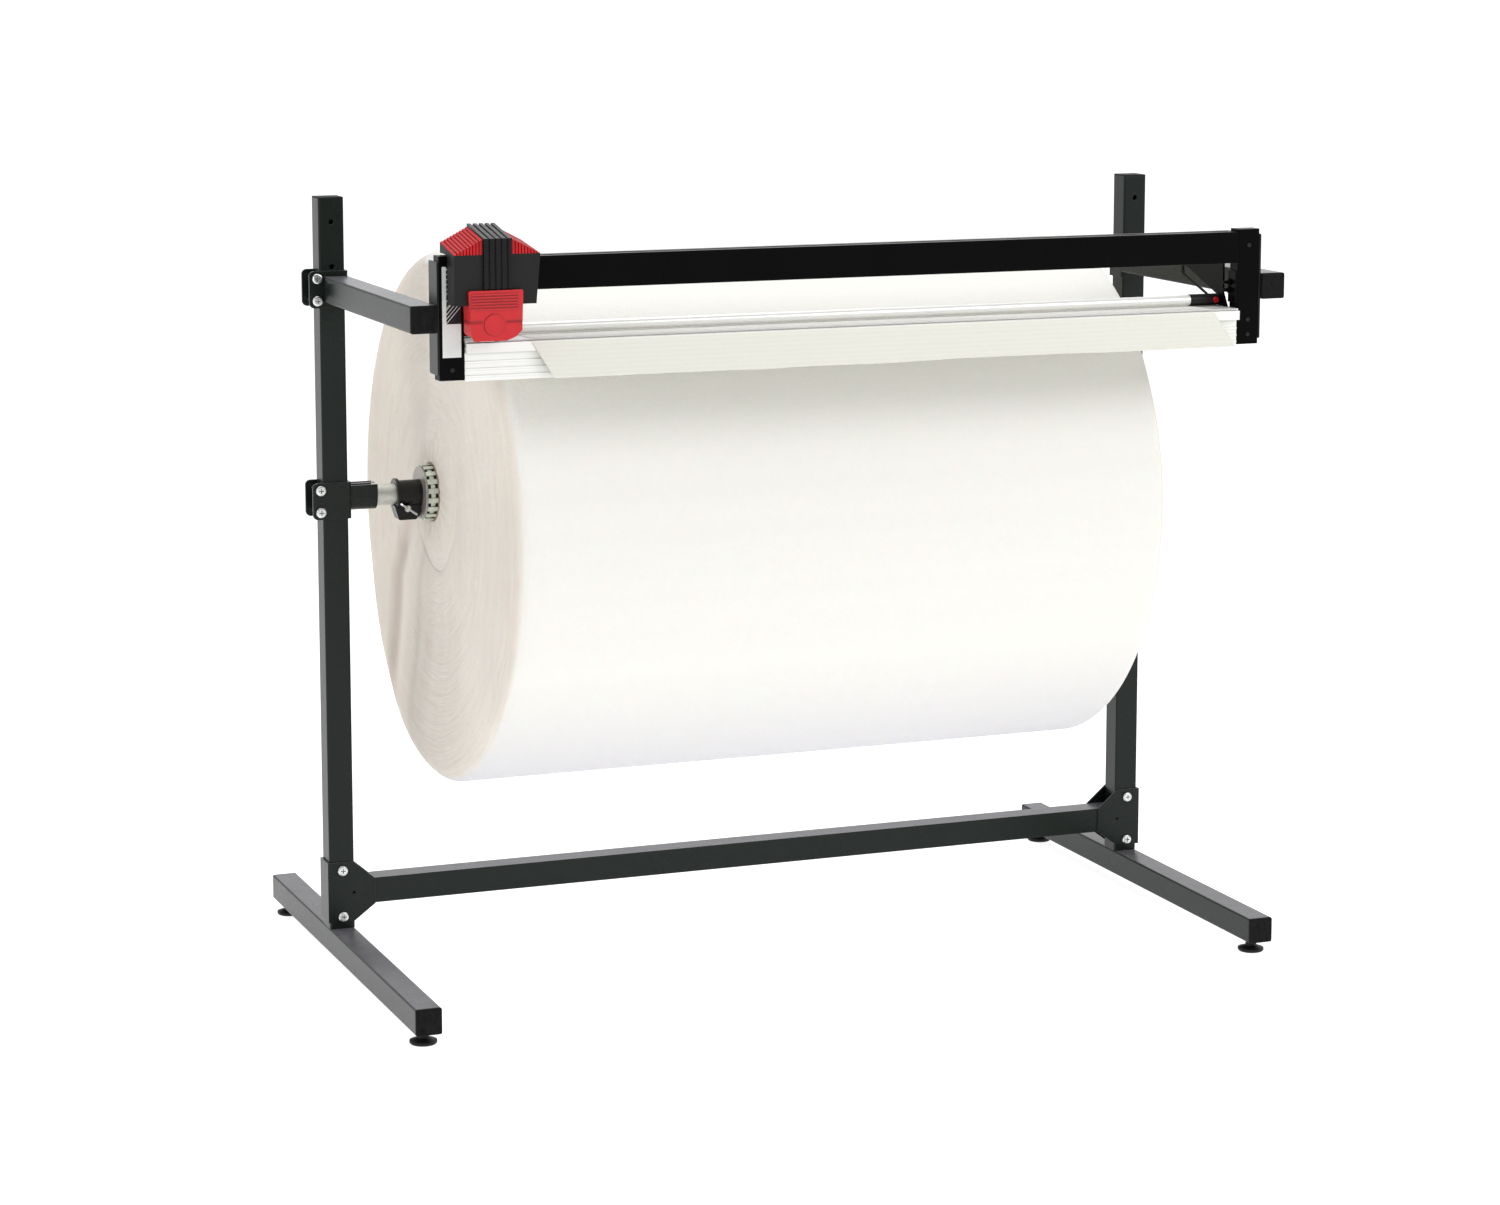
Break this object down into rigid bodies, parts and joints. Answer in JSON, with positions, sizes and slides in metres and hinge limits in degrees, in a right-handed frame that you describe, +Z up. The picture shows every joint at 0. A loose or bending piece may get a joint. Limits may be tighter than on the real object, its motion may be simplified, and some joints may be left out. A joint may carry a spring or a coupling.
{
  "type": "gift wrap paper cutter",
  "caption": "Floor stand for a wide roll of soft wrapping film, with a rail on top, a hold-down bar and a sliding rotary cutter head.",
  "frame": {"origin": "on the floor, under the middle of the whole object's outline", "axes": "+X to the operator's right along the cutting rail, +Y away from the operator, +Z up"},
  "size_m": [1.448, 0.9544, 1.21],
  "materials": {
    "frame_paint": "satin",
    "cutter_paint": "gloss",
    "zinc": "satin",
    "aluminium": "satin",
    "black_plastic": "satin",
    "red_plastic": "satin",
    "rubber": "matte",
    "soft_film": "matte",
    "core_board": "matte",
    "blade_steel": "polished",
    "plate_white": "satin",
    "strip_plastic": "matte"
  },
  "bodies": {
    "stand": {"base_bolts": "zinc", "base_nuts": "zinc", "bracket_screws": "black_plastic", "clamp_bolts": "zinc", "clamp_nuts": "zinc", "crossbar": "frame_paint", "cutting_rail": "aluminium", "cutting_strip": "strip_plastic", "film_end": "soft_film", "film_web": "soft_film", "front_plate": "plate_white", "guide_beam": "cutter_paint", "left_arm": "frame_paint", "left_arm_clamp": "frame_paint", "left_end_bracket": "cutter_paint", "left_foot_rail": "frame_paint", "left_guide_plate": "cutter_paint", "left_roll_cradle": "frame_paint", "left_side_plate": "frame_paint", "left_upright": "frame_paint", "mount_bolts": "cutter_paint", "right_arm": "frame_paint", "right_arm_clamp": "frame_paint", "right_end_bracket": "cutter_paint", "right_foot_rail": "frame_paint", "right_guide_plate": "cutter_paint", "right_roll_cradle": "frame_paint", "right_side_plate": "frame_paint", "right_upright": "frame_paint", "tube_end_caps": "black_plastic"},
    "cutter_head": {"head_body": "black_plastic", "left_grip": "red_plastic", "right_grip": "red_plastic", "grip_band": "rubber", "blade_guard": "red_plastic"},
    "blade": {"cutting_blade": "blade_steel", "blade_axle": "blade_steel"},
    "hold_down": {"hold_down_bar": "aluminium", "left_bar_sleeve": "black_plastic", "right_bar_sleeve": "black_plastic", "bar_buttons": "red_plastic"},
    "film_roll": {"wrap_roll": "soft_film"},
    "core": {"roll_shaft": "zinc", "core_tube": "core_board", "left_inner_wraps": "soft_film", "right_inner_wraps": "soft_film", "left_chuck_sleeve": "black_plastic", "left_chuck_flange": "zinc", "left_chuck_ring": "zinc", "right_chuck_sleeve": "black_plastic", "right_chuck_flange": "zinc", "right_chuck_ring": "zinc"},
    "left_lock": {"left_wing_screw": "zinc"},
    "right_lock": {"right_wing_screw": "zinc"},
    "left_front_pad": {"left_front_levelling_foot": "black_plastic"},
    "left_back_pad": {"left_back_levelling_foot": "black_plastic"},
    "right_front_pad": {"right_front_levelling_foot": "black_plastic"},
    "right_back_pad": {"right_back_levelling_foot": "black_plastic"}
  },
  "joints": [
    {"name": "head_slide", "type": "slide", "parent": "stand", "child": "cutter_head", "axis": [1, 0, 0], "range_m": [0, 1.15]},
    {"name": "blade_spin", "type": "hinge", "parent": "cutter_head", "child": "blade", "pos_m": [-0.59, -0.43975, 1.062], "axis": [0, 1, 0], "continuous": true},
    {"name": "hold_down_lift", "type": "slide", "parent": "stand", "child": "hold_down", "axis": [0, 0.9455, 0.3256], "range_m": [0, 0.116]},
    {"name": "film_spin", "type": "hinge", "parent": "stand", "child": "film_roll", "pos_m": [0, 0.06025, 0.703], "axis": [1, 0, 0], "continuous": true},
    {"name": "core_spin", "type": "hinge", "parent": "stand", "child": "core", "pos_m": [0, 0.06025, 0.743], "axis": [1, 0, 0], "continuous": true},
    {"name": "left_lock_turn", "type": "hinge", "parent": "core", "child": "left_lock", "pos_m": [-0.5705, 0.06025, 0.721], "axis": [0, -1, 0], "range_deg": [0, 360]},
    {"name": "right_lock_turn", "type": "hinge", "parent": "core", "child": "right_lock", "pos_m": [0.5705, 0.06025, 0.721], "axis": [0, -1, 0], "range_deg": [0, 360]},
    {"name": "left_front_pad_turn", "type": "hinge", "parent": "stand", "child": "left_front_pad", "pos_m": [-0.687, -0.40175, 0], "axis": [0, 0, 1], "continuous": true},
    {"name": "left_back_pad_turn", "type": "hinge", "parent": "stand", "child": "left_back_pad", "pos_m": [-0.687, 0.37525, 0], "axis": [0, 0, 1], "continuous": true},
    {"name": "right_front_pad_turn", "type": "hinge", "parent": "stand", "child": "right_front_pad", "pos_m": [0.687, -0.40175, 0], "axis": [0, 0, 1], "continuous": true},
    {"name": "right_back_pad_turn", "type": "hinge", "parent": "stand", "child": "right_back_pad", "pos_m": [0.687, 0.37525, 0], "axis": [0, 0, 1], "continuous": true}
  ],
  "couplings": [
    {"joint": "blade_spin", "follows": "head_slide", "rad_per_m": 33.333},
    {"joint": "core_spin", "follows": "film_spin", "ratio": 1}
  ]
}
